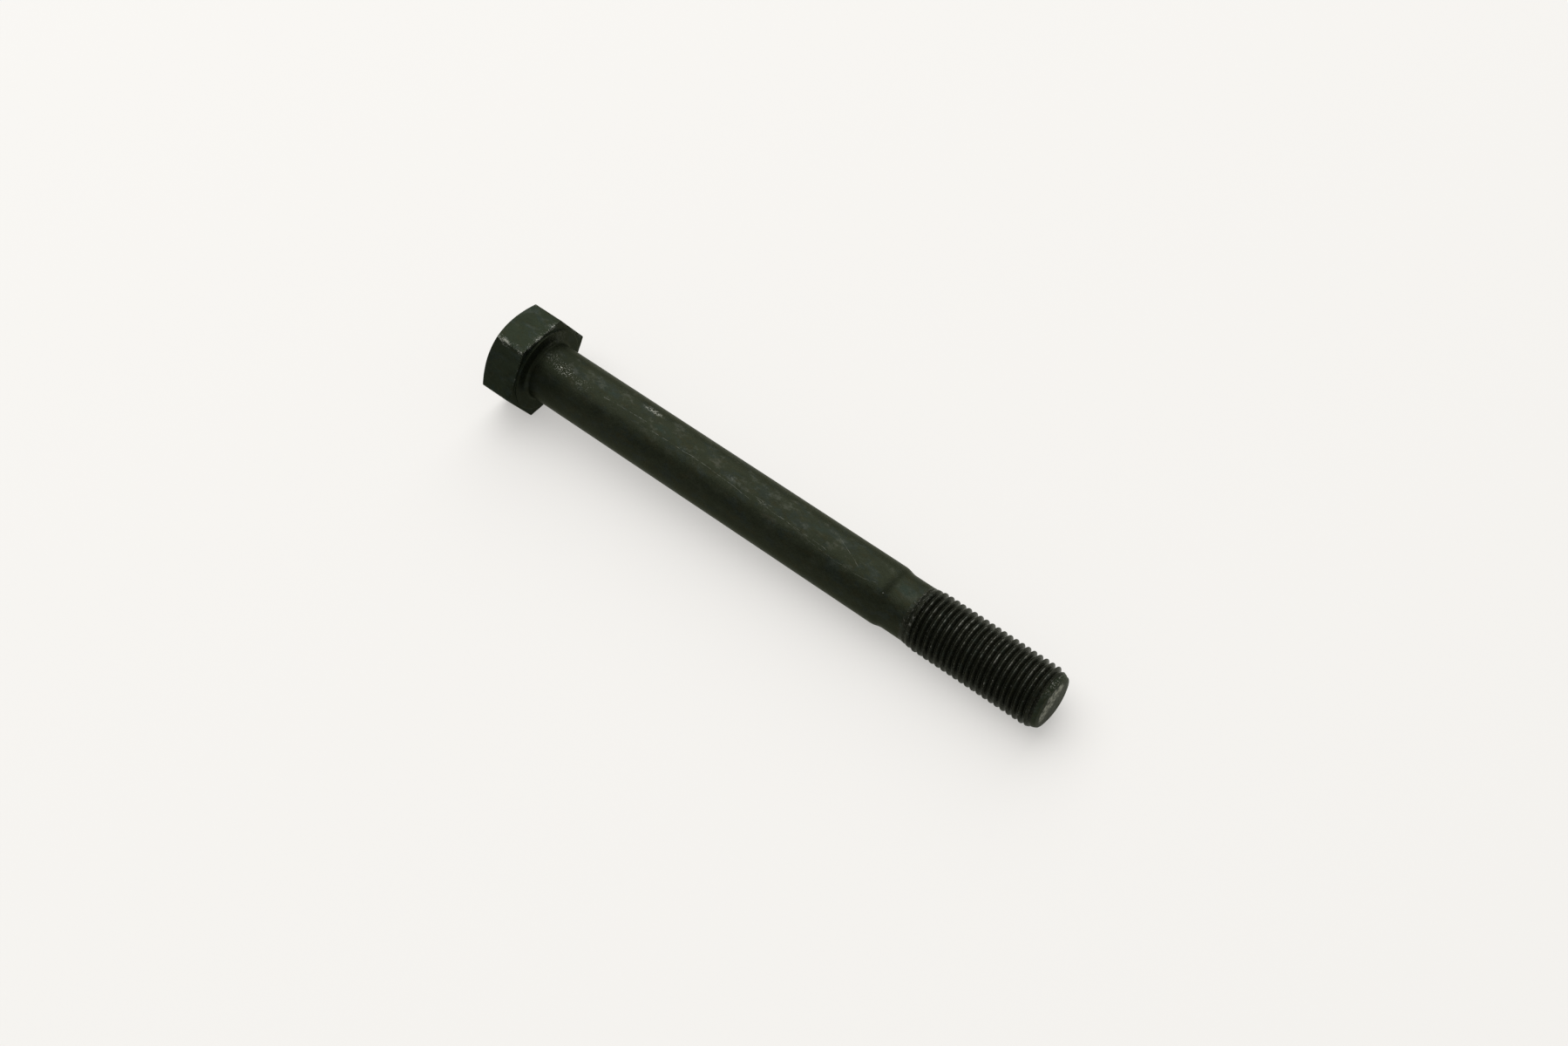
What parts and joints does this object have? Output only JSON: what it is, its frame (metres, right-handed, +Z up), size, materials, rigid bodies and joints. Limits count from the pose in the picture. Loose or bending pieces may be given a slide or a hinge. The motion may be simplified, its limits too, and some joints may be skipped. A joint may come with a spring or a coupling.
{
  "type": "cylinder head bolt",
  "caption": "Long hexagon head bolt with a washer face, a plain shank, a reduced neck and a fine rolled thread, for clamping an engine's cylinder head.",
  "frame": {"origin": "centre of the washer face, on the bolt's axis, where the head bears on the clamped part", "axes": "+X level, over the shank towards the threaded end; +Z up; the bolt lies on a flat of its head and a crest at its end, so its own axis dips 1.6 degrees below +X"},
  "size_m": [0.149, 0.0248, 0.0219],
  "materials": {
    "black_oxide_steel": "oiled black oxide on forged and rolled steel, worn to bright metal on the edges"
  },
  "bodies": {
    "root": {"bolt": "black_oxide_steel"}
  },
  "joints": []
}
